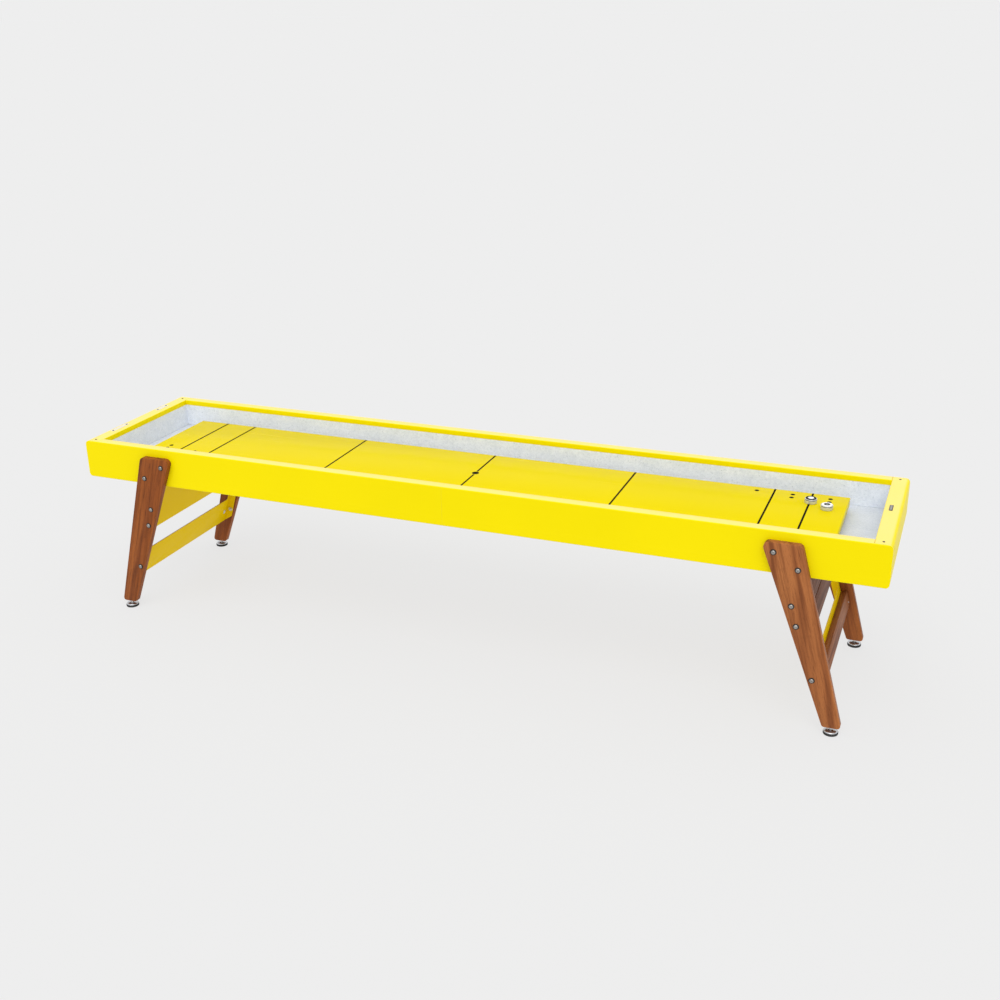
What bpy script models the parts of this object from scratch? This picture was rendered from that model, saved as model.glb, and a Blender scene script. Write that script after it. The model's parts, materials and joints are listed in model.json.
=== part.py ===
"""Shuffleboard table: a folded steel tray on four leaning wooden legs.

Metres, +Z up. The origin is on the floor under the middle of the table, +X runs along the table
and -Y is the front. The two ends are alike, so most pieces are made for one side and placed again
with signs: end is -1 for the left and +1 for the right, side is -1 for the front and +1 for the back.
"""

import math

import bmesh
import bpy
from mathutils import Matrix, Vector

GAP = 0.0003  # left between pieces that touch
OBJECT_NAME = "shuffleboard_table"

# Tray, folded from sheet steel
TRAY_LENGTH = 3.660
TRAY_WIDTH = 0.7524
TRAY_TOP = 0.828
TRAY_BOTTOM = 0.6505
SHEET = 0.0025
SIDE_RIM = 0.0462
END_RIM = 0.0711
LIP_BOTTOM = 0.8041
TOP_CORNER = 0.020
BOTTOM_CORNER = 0.018
FOLD = 0.0035
BOTTOM_FLANGE = 0.040
END_RETURN = 0.030
BRACKET_ENDS = (1.776, 1.806)
BRACKET_REACH = 0.075
BRACKET_DROP = 0.045
SPLICE_HALF_LENGTH = 0.060
SPLICE_LOW = 0.682
SPLICE_HIGH = 0.822

# Inside the tray
CROSS_MEMBER_SPACING = 1.00
CROSS_MEMBER_WIDTH = 0.060
CROSS_MEMBER_HEIGHT = 0.0251
FLOOR_THICKNESS = 0.012
LINER_THICKNESS = 0.012
FELT = 0.004
GUTTER_HALF_LENGTH = 1.7595
GUTTER_HALF_WIDTH = 0.3306

# Playing board
BOARD_HALF_LENGTH = 1.6047
BOARD_HALF_WIDTH = 0.2475
BOARD_TOP = 0.7583
BOARD_THICKNESS = 0.036
BEARER_SPACING = 1.30
BEARER_WIDTH = 0.070
BEARER_HALF_LENGTH = 0.200

# Legs: straight planks that lean outwards, in the XZ plane
LEG_INNER_FACE = 0.3765
LEG_THICKNESS = 0.028
LEG_TOP = 0.790
LEG_BOTTOM = 0.030
LEG_INSIDE_LINE = (1.355, 0.379, 0.770)  # x at height z is x0 + slope * (z0 - z)
LEG_OUTSIDE_LINE = (1.515, 0.269, 0.753)
LEG_TOP_CORNER = 0.022
LEG_BOTTOM_CORNER = 0.012
LEG_EASING = 0.0035
LEG_BOLTS = ((1.397, 0.750), (1.4945, 0.688))
BOLT_RADIUS = 0.004
BOLT_HOLE_RADIUS = 0.0045
WASHER_RADIUS = 0.0115
WASHER_THICKNESS = 0.0015
DOME_RADIUS = 0.0085
DOME_HEIGHT = 0.0045
NUT_RADIUS = 0.0075
NUT_THICKNESS = 0.0050

# End frames: a folded steel panel with a window, leaning with the legs
LEAN = math.atan(0.31)
PANEL_FOOT = 1.6696  # where the panel's inner face would meet the floor
PANEL = 0.003
PANEL_LOW = 0.170  # heights here are measured up the slope
WINDOW_LOW = 0.3026
WINDOW_HIGH = 0.4157
WINDOW_MARGIN = 0.0192
FLANGE_DEPTH = 0.031
FLANGE_TOE = 0.206
TOP_FLANGE_REACH = 0.038
RAIL_LOW = 0.2121
RAIL_HIGH = 0.2732
RAIL_THICKNESS = 0.0273
APRON_LOW = 0.4221
APRON_BOARD = 0.0800
APRON_GROOVE = 0.0033
APRON_THICKNESS = 0.0230
WOOD_EASING = 0.0020

# Levelling feet
FOOT_X = 1.670
FOOT_Y = 0.3905
RUBBER_RADIUS = 0.030
RUBBER_HEIGHT = 0.0105
PAD_RADIUS = 0.0285
PAD_SHOULDER = 0.0125
PAD_NECK = 0.0100
PAD_TOP = 0.0190
SOCKET_RADIUS = 0.0056
SOCKET_FLOOR = 0.0122
BALL_RADIUS = 0.0048
STEM_RADIUS = 0.0040
STEM_TOP = 0.078
COLLAR_LOW = 0.0205
COLLAR_HIGH = 0.0275
COLLAR_ACROSS_FLATS = 0.015
LEG_BORE_RADIUS = 0.0047
LEG_BORE_TOP = 0.088

# Pucks
PUCK_PLACES = ((1.4567, 0.1358), (1.5290, 0.0846))
PUCK_RADIUS = 0.0252
PUCK_HEIGHT = 0.0202
PUCK_GROOVE_DEPTH = 0.0008
PUCK_RECESS_RADIUS = 0.0222
PUCK_RECESS_DEPTH = 0.0040
CAP_RADIUS = 0.0218
CAP_TOP = 0.0226
CAP_FINISHES = ("dark_cap_plastic", "white_cap_plastic")

END_NAMES = {-1: "left", 1: "right"}
SIDE_NAMES = {-1: "front", 1: "back"}
ENDS = (-1, 1)
SIDES = (-1, 1)

MATERIALS = {  # colour, roughness, metallic
    "yellow_powder_coat": ((0.93, 0.78, 0.01), 0.35, 0.0),
    "board_lacquer": ((0.94, 0.80, 0.02), 0.18, 0.0),
    "hardwood": ((0.33, 0.11, 0.04), 0.45, 0.0),
    "grey_felt": ((0.66, 0.69, 0.72), 0.95, 0.0),
    "plywood": ((0.62, 0.46, 0.28), 0.70, 0.0),
    "zinc_steel": ((0.62, 0.63, 0.64), 0.35, 1.0),
    "chrome": ((0.80, 0.80, 0.80), 0.08, 1.0),
    "rubber": ((0.02, 0.02, 0.02), 0.80, 0.0),
    "puck_steel": ((0.70, 0.70, 0.68), 0.15, 1.0),
    "dark_cap_plastic": ((0.06, 0.06, 0.065), 0.30, 0.0),
    "white_cap_plastic": ((0.85, 0.85, 0.83), 0.30, 0.0),
}


def clear_scene():
    for obj in list(bpy.data.objects):
        bpy.data.objects.remove(obj, do_unlink=True)


def new_collection(name, hidden=False):
    collection = bpy.data.collections.new(name)
    bpy.context.scene.collection.children.link(collection)
    collection.hide_render = hidden
    return collection


clear_scene()
PARTS = new_collection(OBJECT_NAME)
CUTTERS = new_collection("cutters", hidden=True)


def material(name):
    """The named material, made once from its row in MATERIALS."""
    if name in bpy.data.materials:
        return bpy.data.materials[name]
    color, roughness, metallic = MATERIALS[name]
    made = bpy.data.materials.new(name)
    made.use_nodes = True
    shader = made.node_tree.nodes["Principled BSDF"]
    shader.inputs["Base Color"].default_value = (*color, 1.0)
    shader.inputs["Roughness"].default_value = roughness
    shader.inputs["Metallic"].default_value = metallic
    return made


def place(name, mesh, finish=None, matrix=None):
    """An object of this mesh: a sub-part when it has a finish, and otherwise a hidden helper."""
    obj = bpy.data.objects.new(name, mesh)
    if matrix is not None:
        obj.matrix_world = matrix
    if finish is None:
        CUTTERS.objects.link(obj)
        obj.hide_render = True
        obj.display_type = "WIRE"
    else:
        PARTS.objects.link(obj)
        mesh.materials.clear()
        mesh.materials.append(material(finish))
    return obj


def box_mesh(name, low, high):
    low, high = Vector(low), Vector(high)
    size, middle = high - low, (high + low) / 2
    bm = bmesh.new()
    bmesh.ops.create_cube(bm, size=1.0, matrix=Matrix.Translation(middle) @ Matrix.Diagonal((*size, 1.0)))
    mesh = bpy.data.meshes.new(name)
    bm.to_mesh(mesh)
    bm.free()
    return mesh


def box(name, low, high, finish=None, easing=0.0, matrix=None):
    obj = place(name, box_mesh(name, low, high), finish, matrix)
    if easing:
        ease_edges(obj, easing)
    return obj


def ease_edges(obj, width, segments=2, sharper_than=40):
    bevel = obj.modifiers.new("eased edges", "BEVEL")
    bevel.width = width
    bevel.segments = segments
    bevel.limit_method = "ANGLE"
    bevel.angle_limit = math.radians(sharper_than)


def rod(name, start, end, radius, sides=16, finish=None):
    """A cylinder between two points."""
    start, end = Vector(start), Vector(end)
    turn = Vector((0, 0, 1)).rotation_difference(end - start).to_matrix().to_4x4()
    bm = bmesh.new()
    bmesh.ops.create_cone(
        bm,
        cap_ends=True,
        segments=sides,
        radius1=radius,
        radius2=radius,
        depth=(end - start).length,
        matrix=Matrix.Translation((start + end) / 2) @ turn,
    )
    mesh = bpy.data.meshes.new(name)
    bm.to_mesh(mesh)
    bm.free()
    return place(name, mesh, finish)


def turned(name, profile, at, finish, steps=32):
    """A solid of revolution about the vertical through at. The profile's (radius, height) points run
    from the axis at the top, down the outer side, to the axis at the bottom."""
    mesh = bpy.data.meshes.new(name)
    points = [(radius, 0.0, height) for radius, height in profile]
    mesh.from_pydata(points, [(i, i + 1) for i in range(len(points) - 1)], [])
    obj = place(name, mesh, finish, Matrix.Translation((at[0], at[1], 0.0)))
    screw = obj.modifiers.new("turned", "SCREW")
    screw.axis = "Z"
    screw.angle = math.tau
    screw.steps = steps
    screw.render_steps = steps
    screw.use_merge_vertices = True
    screw.merge_threshold = 0.00005
    return obj


def fillet(before, corner, after, radius, segments):
    """Points of an arc of this radius that rounds the corner between two straight lines."""
    corner = Vector(corner)
    to_before = (Vector(before) - corner).normalized()
    to_after = (Vector(after) - corner).normalized()
    half = to_before.angle(to_after) / 2
    centre = corner + (to_before + to_after).normalized() * (radius / math.sin(half))
    first = corner + to_before * (radius / math.tan(half)) - centre
    last = corner + to_after * (radius / math.tan(half)) - centre
    sweep = first.angle_signed(last)
    return [centre + Matrix.Rotation(-sweep * i / segments, 2) @ first for i in range(segments + 1)]


def rounded(corners, closed=True, segments=4):
    """An outline from corners of (x, y, radius)."""
    points = []
    for i, (x, y, radius) in enumerate(corners):
        inside = closed or 0 < i < len(corners) - 1
        if radius and inside:
            before, after = corners[i - 1][:2], corners[(i + 1) % len(corners)][:2]
            points += fillet(before, (x, y), after, radius, segments)
        else:
            points.append(Vector((x, y)))
    return points


def plate(name, outline, low, high, finish=None, matrix=None):
    """A flat plate in the XZ plane, from y = low to y = high, with this (x, z) outline."""
    curve = bpy.data.curves.new(name, "CURVE")
    curve.dimensions = "2D"
    curve.fill_mode = "BOTH"
    curve.extrude = (high - low) / 2
    spline = curve.splines.new("POLY")
    spline.points.add(len(outline) - 1)
    for point, (x, z) in zip(spline.points, outline):
        point.co = (x, z, 0.0, 1.0)
    spline.use_cyclic_u = True
    guide = bpy.data.objects.new(name + "_outline", curve)
    bpy.context.scene.collection.objects.link(guide)
    bpy.context.view_layer.update()
    mesh = bpy.data.meshes.new_from_object(guide.evaluated_get(bpy.context.evaluated_depsgraph_get()))
    bpy.data.objects.remove(guide, do_unlink=True)
    stand_up = Matrix.Translation((0, (low + high) / 2, 0)) @ Matrix.Rotation(math.radians(90), 4, "X")
    bm = bmesh.new()
    bm.from_mesh(mesh)
    bmesh.ops.remove_doubles(bm, verts=bm.verts, dist=0.00001)
    bmesh.ops.transform(bm, matrix=stand_up, verts=bm.verts)
    bmesh.ops.recalc_face_normals(bm, faces=bm.faces)
    bm.to_mesh(mesh)
    bm.free()
    return place(name, mesh, finish, matrix)


def moved_inwards(corners, distance):
    """An open line of corners, moved by this distance to the side that it bends towards."""
    points = [Vector((x, y)) for x, y, _ in corners]
    area = sum(a.x * b.y - b.x * a.y for a, b in zip(points, points[1:] + points[:1]))
    turn = math.copysign(1.0, area)
    runs = [(b - a).normalized() for a, b in zip(points, points[1:])]
    normals = [turn * Vector((-run.y, run.x)) for run in runs]
    normals = [normals[0], *normals, normals[-1]]
    moved = []
    for point, (_, _, radius), first, second in zip(points, corners, normals, normals[1:]):
        mitre = (first + second) / (1 + first.dot(second))
        moved.append((*(point + mitre * distance), max(radius - distance, 0.0)))
    return moved


def folded_sheet(name, corners, low, high, finish, along="Y", segments=4):
    """A sheet bent to this open line of corners, from low to high along X or Y. The corners are
    (x, z, radius) on a sheet along Y, and (y, z, radius) on one along X."""
    outer = rounded(corners, closed=False, segments=segments)
    inner = rounded(moved_inwards(corners, SHEET), closed=False, segments=segments)
    outline = outer + inner[::-1]
    if along == "Y":
        return plate(name, outline, low, high, finish)
    quarter_turn = Matrix.Rotation(math.radians(90), 4, "Z")
    return plate(name, outline, -high, -low, finish, matrix=quarter_turn)


def boolean(obj, others, operation="DIFFERENCE"):
    for other in others:
        modifier = obj.modifiers.new(operation.lower() + " " + other.name, "BOOLEAN")
        modifier.operation = operation
        modifier.object = other
        modifier.solver = "EXACT"


def mirrored_x(points, end):
    """The outline on this end of the table, still running the same way round."""
    return points if end > 0 else [Vector((-x, z)) for x, z in reversed(points)]


def between(a, b):
    return (min(a, b), max(a, b))


# ---- Tray ------------------------------------------------------------------------------------------

HALF_LENGTH = TRAY_LENGTH / 2
HALF_WIDTH = TRAY_WIDTH / 2
WEB_INSIDE = HALF_WIDTH - SHEET
RIM_INSIDE_Y = HALF_WIDTH - SIDE_RIM
RIM_INSIDE_X = HALF_LENGTH - END_RIM
END_SPAN = WEB_INSIDE - GAP


def side_panel(side, end):
    """Half of one long side: a web with a rim and a lip folded in at the top, and a flange at the
    bottom. The folds stop where the end panel starts, and only the web runs on to the round corner."""
    name = f"side_panel_{SIDE_NAMES[side]}_{END_NAMES[end]}"
    corners = (
        (RIM_INSIDE_Y, LIP_BOTTOM, 0),
        (RIM_INSIDE_Y, TRAY_TOP, FOLD),
        (HALF_WIDTH, TRAY_TOP, FOLD),
        (HALF_WIDTH, TRAY_BOTTOM, FOLD),
        (HALF_WIDTH - BOTTOM_FLANGE, TRAY_BOTTOM, 0),
    )
    section = [(side * y, z, radius) for y, z, radius in corners]
    start, stop = between(end * GAP / 2, end * (HALF_LENGTH + 0.01))
    panel = folded_sheet(name, section, start, stop, "yellow_powder_coat", along="X", segments=3)
    end_of_folds = end * (RIM_INSIDE_X - GAP)
    x_low, x_high = between(end_of_folds, end * 1.95)
    y_low, y_high = between(0.2 * side, WEB_INSIDE * side)
    folds_beyond = box(name + "_trim", (x_low, y_low, 0.60), (x_high, y_high, 0.90))
    silhouette = rounded(
        [
            (-0.01, TRAY_BOTTOM - 0.01, 0),
            (HALF_LENGTH - 2 * BOTTOM_CORNER, TRAY_BOTTOM - 0.01, 0),
            (HALF_LENGTH - 2 * BOTTOM_CORNER, TRAY_BOTTOM, 0),
            (HALF_LENGTH, TRAY_BOTTOM, BOTTOM_CORNER),
            (HALF_LENGTH, TRAY_TOP, TOP_CORNER),
            (HALF_LENGTH - 2 * TOP_CORNER, TRAY_TOP, 0),
            (HALF_LENGTH - 2 * TOP_CORNER, TRAY_TOP + 0.01, 0),
            (-0.01, TRAY_TOP + 0.01, 0),
        ],
        segments=6,
    )
    y_low, y_high = between(0.25 * side, 0.40 * side)
    outline = plate(name + "_outline_keep", mirrored_x(silhouette, end), y_low, y_high)
    boolean(panel, [folds_beyond])
    boolean(panel, [outline], "INTERSECT")
    return panel


def end_panel(end):
    """A short end: lip, rim, a round corner, the wall and a round corner into a narrow return. The
    lip is notched at both ends to pass over the gutter liner's long walls."""
    corners = (
        (RIM_INSIDE_X, LIP_BOTTOM, 0),
        (RIM_INSIDE_X, TRAY_TOP, FOLD),
        (HALF_LENGTH, TRAY_TOP, TOP_CORNER),
        (HALF_LENGTH, TRAY_BOTTOM, BOTTOM_CORNER),
        (HALF_LENGTH - END_RETURN, TRAY_BOTTOM, 0),
    )
    section = [(end * x, z, radius) for x, z, radius in corners]
    name = f"end_panel_{END_NAMES[end]}"
    panel = folded_sheet(name, section, -END_SPAN, END_SPAN, "yellow_powder_coat", segments=6)
    x_low, x_high = between(end * (RIM_INSIDE_X - 0.01), end * (RIM_INSIDE_X + 2 * SHEET))
    notches = []
    for side in SIDES:
        y_low, y_high = between(side * (RIM_INSIDE_Y + SHEET), side * HALF_WIDTH)
        notch = f"{name}_notch_{SIDE_NAMES[side]}"
        low, high = (x_low, y_low, LIP_BOTTOM - 0.01), (x_high, y_high, TRAY_TOP - SHEET - GAP / 2)
        notches.append(box(notch, low, high))
    boolean(panel, notches)
    return panel


def corner_bracket(side, end):
    """An angle under the end rim, against the side web, that ties the two panels together."""
    outside, top = END_SPAN * side, TRAY_TOP - SHEET - GAP
    inside = (END_SPAN - BRACKET_REACH) * side
    section = [(inside, top, 0), (outside, top, 0), (outside, top - BRACKET_DROP, 0)]
    name = f"corner_bracket_{SIDE_NAMES[side]}_{END_NAMES[end]}"
    low, high = between(end * BRACKET_ENDS[0], end * BRACKET_ENDS[1])
    return folded_sheet(name, section, low, high, "zinc_steel", along="X")


def splice_plate(side):
    """The flat plate that joins the two halves of a long side, inside the web."""
    y_low, y_high = between(side * END_SPAN, side * (END_SPAN - SHEET))
    name = f"splice_plate_{SIDE_NAMES[side]}"
    low = (-SPLICE_HALF_LENGTH, y_low, SPLICE_LOW)
    high = (SPLICE_HALF_LENGTH, y_high, SPLICE_HIGH)
    return box(name, low, high, "zinc_steel")


CROSS_LOW = TRAY_BOTTOM + SHEET + GAP
CROSS_HIGH = CROSS_LOW + CROSS_MEMBER_HEIGHT
FLOOR_LOW = CROSS_HIGH + GAP
FLOOR_HIGH = FLOOR_LOW + FLOOR_THICKNESS
FELT_LOW = FLOOR_HIGH + GAP
FELT_HIGH = FELT_LOW + FELT
FELT_OUTSIDE_X = GUTTER_HALF_LENGTH + FELT
FELT_OUTSIDE_Y = GUTTER_HALF_WIDTH + FELT
LINER_INSIDE_X = FELT_OUTSIDE_X + GAP
LINER_INSIDE_Y = FELT_OUTSIDE_Y + GAP
LINER_OUTSIDE_X = LINER_INSIDE_X + LINER_THICKNESS
LINER_OUTSIDE_Y = LINER_INSIDE_Y + LINER_THICKNESS


def cross_member(name, x):
    half = CROSS_MEMBER_WIDTH / 2
    return box(
        name,
        (x - half, -END_SPAN, CROSS_LOW),
        (x + half, END_SPAN, CROSS_HIGH),
        "plywood",
        easing=0.0015,
    )


def floor_board(end):
    low, high = between(end * GAP / 2, end * LINER_OUTSIDE_X)
    return box(
        f"floor_board_{END_NAMES[end]}",
        (low, -LINER_OUTSIDE_Y, FLOOR_LOW),
        (high, LINER_OUTSIDE_Y, FLOOR_HIGH),
        "plywood",
    )


def ring(name, inside, outside, low, high, finish):
    """A rectangular band, from its inside half sizes to its outside half sizes."""
    band = box(name, (-outside[0], -outside[1], low), (outside[0], outside[1], high), finish)
    opening = box(
        name + "_opening",
        (-inside[0], -inside[1], low - 0.01),
        (inside[0], inside[1], high + 0.01),
    )
    boolean(band, [opening])
    return band


def gutter():
    """The plywood box that lines the tray, and the felt on its floor and round its walls."""
    liner_top = TRAY_TOP - SHEET - GAP
    ring(
        "gutter_liner",
        (LINER_INSIDE_X, LINER_INSIDE_Y),
        (LINER_OUTSIDE_X, LINER_OUTSIDE_Y),
        FELT_LOW,
        liner_top,
        "plywood",
    )
    box(
        "gutter_floor_felt",
        (-FELT_OUTSIDE_X, -FELT_OUTSIDE_Y, FELT_LOW),
        (FELT_OUTSIDE_X, FELT_OUTSIDE_Y, FELT_HIGH),
        "grey_felt",
    )
    ring(
        "gutter_wall_felt",
        (GUTTER_HALF_LENGTH, GUTTER_HALF_WIDTH),
        (FELT_OUTSIDE_X, FELT_OUTSIDE_Y),
        FELT_HIGH + GAP,
        LIP_BOTTOM - GAP,
        "grey_felt",
    )


def playing_board():
    return box(
        "playing_board",
        (-BOARD_HALF_LENGTH, -BOARD_HALF_WIDTH, BOARD_TOP - BOARD_THICKNESS),
        (BOARD_HALF_LENGTH, BOARD_HALF_WIDTH, BOARD_TOP),
        "board_lacquer",
        easing=0.0020,
    )


def board_bearer(name, x):
    half = BEARER_WIDTH / 2
    return box(
        name,
        (x - half, -BEARER_HALF_LENGTH, FELT_HIGH + GAP),
        (x + half, BEARER_HALF_LENGTH, BOARD_TOP - BOARD_THICKNESS - GAP),
        "plywood",
    )


# ---- Legs and end frames ---------------------------------------------------------------------------


def line_x(line, z):
    x0, slope, z0 = line
    return x0 + slope * (z0 - z)


def leg(side, end):
    """A plank with round corners, bored for two bolts into the tray and for its levelling foot."""
    name = f"leg_{SIDE_NAMES[side]}_{END_NAMES[end]}"
    corners = [
        (line_x(LEG_INSIDE_LINE, LEG_BOTTOM), LEG_BOTTOM, LEG_BOTTOM_CORNER),
        (line_x(LEG_OUTSIDE_LINE, LEG_BOTTOM), LEG_BOTTOM, LEG_BOTTOM_CORNER),
        (line_x(LEG_OUTSIDE_LINE, LEG_TOP), LEG_TOP, LEG_TOP_CORNER),
        (line_x(LEG_INSIDE_LINE, LEG_TOP), LEG_TOP, LEG_TOP_CORNER),
    ]
    low, high = between(side * LEG_INNER_FACE, side * (LEG_INNER_FACE + LEG_THICKNESS))
    plank = plate(name, mirrored_x(rounded(corners, segments=5), end), low, high, "hardwood")
    ease_edges(plank, LEG_EASING)
    holes = [
        rod(f"{name}_hole_{i}", (end * x, low - 0.01, z), (end * x, high + 0.01, z), BOLT_HOLE_RADIUS, 12)
        for i, (x, z) in enumerate(LEG_BOLTS)
    ]
    foot = (end * FOOT_X, side * FOOT_Y)
    holes.append(rod(name + "_foot_bore", (*foot, LEG_BOTTOM - 0.01), (*foot, LEG_BORE_TOP), LEG_BORE_RADIUS))
    boolean(plank, holes)
    return plank


def leg_bolt(side, end, index):
    """A domed bolt with its washer outside the leg, and its nut inside the tray's side web."""
    x, z = LEG_BOLTS[index]
    face = LEG_INNER_FACE + LEG_THICKNESS + GAP
    nut_low = WEB_INSIDE - GAP - NUT_THICKNESS
    profile = [
        (0.0, face + WASHER_THICKNESS + DOME_HEIGHT),
        (DOME_RADIUS * 0.55, face + WASHER_THICKNESS + DOME_HEIGHT * 0.86),
        (DOME_RADIUS * 0.88, face + WASHER_THICKNESS + DOME_HEIGHT * 0.45),
        (DOME_RADIUS, face + WASHER_THICKNESS),
        (WASHER_RADIUS, face + WASHER_THICKNESS),
        (WASHER_RADIUS, face),
        (BOLT_RADIUS, face),
        (BOLT_RADIUS, nut_low + NUT_THICKNESS),
        (NUT_RADIUS, nut_low + NUT_THICKNESS),
        (NUT_RADIUS, nut_low),
        (0.0, nut_low),
    ]
    name = f"leg_bolt_{SIDE_NAMES[side]}_{END_NAMES[end]}_{index + 1}"
    bolt = turned(name, profile, (0, 0), "zinc_steel", steps=12)
    bolt.matrix_world = Matrix.Translation((end * x, 0, z)) @ Matrix.Rotation(
        -side * math.radians(90), 4, "X"
    )
    return bolt


def bolt_holes_in_web(side, end):
    return [
        rod(
            f"web_hole_{SIDE_NAMES[side]}_{END_NAMES[end]}_{i}",
            (end * x, side * (WEB_INSIDE - 0.02), z),
            (end * x, side * (HALF_WIDTH + 0.02), z),
            BOLT_HOLE_RADIUS,
            12,
        )
        for i, (x, z) in enumerate(LEG_BOLTS)
    ]


def leaning(end):
    """The frame of an end panel: X points out along the panel's normal, and Z runs up its slope.
    The left end is the right one turned half round about the vertical."""
    half_turn = Matrix.Rotation(0.0 if end > 0 else math.pi, 4, "Z")
    return half_turn @ Matrix.Translation((PANEL_FOOT, 0, 0)) @ Matrix.Rotation(-LEAN, 4, "Y")


PANEL_HALF_WIDTH = LEG_INNER_FACE - GAP
TOP_OF_PANEL = TRAY_BOTTOM - GAP


def slope_height(z, x=0.0):
    """How far up the slope a level z is reached, at x along the panel's normal."""
    return (z - x * math.sin(LEAN)) / math.cos(LEAN)


def end_frame(end):
    """The folded panel: a lower bar, a window and an upper panel, with side flanges bent inwards
    along the legs and a top flange bent inwards under the tray."""
    name = f"end_frame_{END_NAMES[end]}"
    frame = leaning(end)
    sheet = box(
        name,
        (0, -PANEL_HALF_WIDTH, PANEL_LOW),
        (PANEL, PANEL_HALF_WIDTH, slope_height(TOP_OF_PANEL, PANEL)),
        "yellow_powder_coat",
        matrix=frame,
    )
    window = box(
        name + "_window",
        (-0.05, -PANEL_HALF_WIDTH + WINDOW_MARGIN, WINDOW_LOW),
        (0.05, PANEL_HALF_WIDTH - WINDOW_MARGIN, WINDOW_HIGH),
        easing=0.004,
        matrix=frame,
    )
    flange = [
        (PANEL, PANEL_LOW),
        (0.0, PANEL_LOW),
        (-FLANGE_DEPTH, FLANGE_TOE),
        (-FLANGE_DEPTH, slope_height(TOP_OF_PANEL, -FLANGE_DEPTH)),
        (PANEL, slope_height(TOP_OF_PANEL, PANEL)),
    ]
    joined = []
    for side in SIDES:
        low, high = between(side * PANEL_HALF_WIDTH, side * (PANEL_HALF_WIDTH - PANEL))
        joined.append(plate(f"{name}_flange_{SIDE_NAMES[side]}", flange, low, high, matrix=frame))
    top_x = PANEL_FOOT - TOP_OF_PANEL * math.tan(LEAN)
    low, high = between(end * (top_x - TOP_FLANGE_REACH), end * (top_x + 0.002))
    joined.append(
        box(
            name + "_top_flange",
            (low, -PANEL_HALF_WIDTH, TOP_OF_PANEL - PANEL),
            (high, PANEL_HALF_WIDTH, TOP_OF_PANEL),
        )
    )
    boolean(sheet, [window])
    boolean(sheet, joined, "UNION")
    return sheet


def sloping_board(name, end, low, high, thickness):
    """A board on the outer face of an end frame, between the legs."""
    return box(
        name,
        (PANEL + GAP, -PANEL_HALF_WIDTH, low),
        (PANEL + GAP + thickness, PANEL_HALF_WIDTH, high),
        "hardwood",
        easing=WOOD_EASING,
        matrix=leaning(end),
    )


def end_boards(end):
    tail = END_NAMES[end]
    sloping_board(f"rail_{tail}", end, RAIL_LOW, RAIL_HIGH, RAIL_THICKNESS)
    for index, row in enumerate(("lower", "upper")):
        low = APRON_LOW + index * (APRON_BOARD + APRON_GROOVE)
        sloping_board(f"apron_{row}_{tail}", end, low, low + APRON_BOARD, APRON_THICKNESS)


# ---- Levelling feet --------------------------------------------------------------------------------


def foot(side, end):
    """A rubber shoe, a chromed pad with a socket, and a threaded stem with a ball end and a collar."""
    tail = f"{SIDE_NAMES[side]}_{END_NAMES[end]}"
    at = (end * FOOT_X, side * FOOT_Y)
    turned(
        f"foot_rubber_{tail}",
        [
            (0.0, RUBBER_HEIGHT),
            (RUBBER_RADIUS - 0.001, RUBBER_HEIGHT),
            (RUBBER_RADIUS, RUBBER_HEIGHT - 0.001),
            (RUBBER_RADIUS, 0.0010),
            (RUBBER_RADIUS - 0.001, 0.0),
            (0.0, 0.0),
        ],
        at,
        "rubber",
        steps=24,
    )
    pad_low = RUBBER_HEIGHT + GAP
    rise = PAD_TOP - PAD_SHOULDER
    dome = [
        (PAD_NECK + (PAD_RADIUS - PAD_NECK) * math.sin(a), PAD_SHOULDER + (rise - 0.001) * math.cos(a))
        for a in [math.radians(90 * i / 4) for i in range(5)]
    ]
    turned(
        f"foot_pad_{tail}",
        [
            (0.0, SOCKET_FLOOR),
            (SOCKET_RADIUS, SOCKET_FLOOR),
            (SOCKET_RADIUS, PAD_TOP),
            (PAD_NECK - 0.001, PAD_TOP),
            *dome,
            (PAD_RADIUS, pad_low),
            (0.0, pad_low),
        ],
        at,
        "chrome",
        steps=24,
    )
    ball_centre = SOCKET_FLOOR + 2 * GAP + BALL_RADIUS
    ball_top = math.acos(STEM_RADIUS * 0.8 / BALL_RADIUS)
    ball = [
        (BALL_RADIUS * math.cos(a), ball_centre + BALL_RADIUS * math.sin(a))
        for a in [ball_top + (-math.pi / 2 - ball_top) * i / 6 for i in range(6)]
    ]
    stem = turned(
        f"foot_stem_{tail}",
        [
            (0.0, STEM_TOP),
            (STEM_RADIUS - 0.0008, STEM_TOP),
            (STEM_RADIUS, STEM_TOP - 0.0008),
            (STEM_RADIUS, ball[0][1] + 0.0006),
            *ball,
            (0.0, ball_centre - BALL_RADIUS),
        ],
        at,
        "zinc_steel",
        steps=16,
    )
    collar = rod(
        f"foot_collar_{tail}",
        (*at, COLLAR_LOW),
        (*at, COLLAR_HIGH),
        COLLAR_ACROSS_FLATS / 2 / math.cos(math.pi / 6),
        sides=6,
    )
    boolean(stem, [collar], "UNION")


# ---- Pucks -----------------------------------------------------------------------------------------


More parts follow.
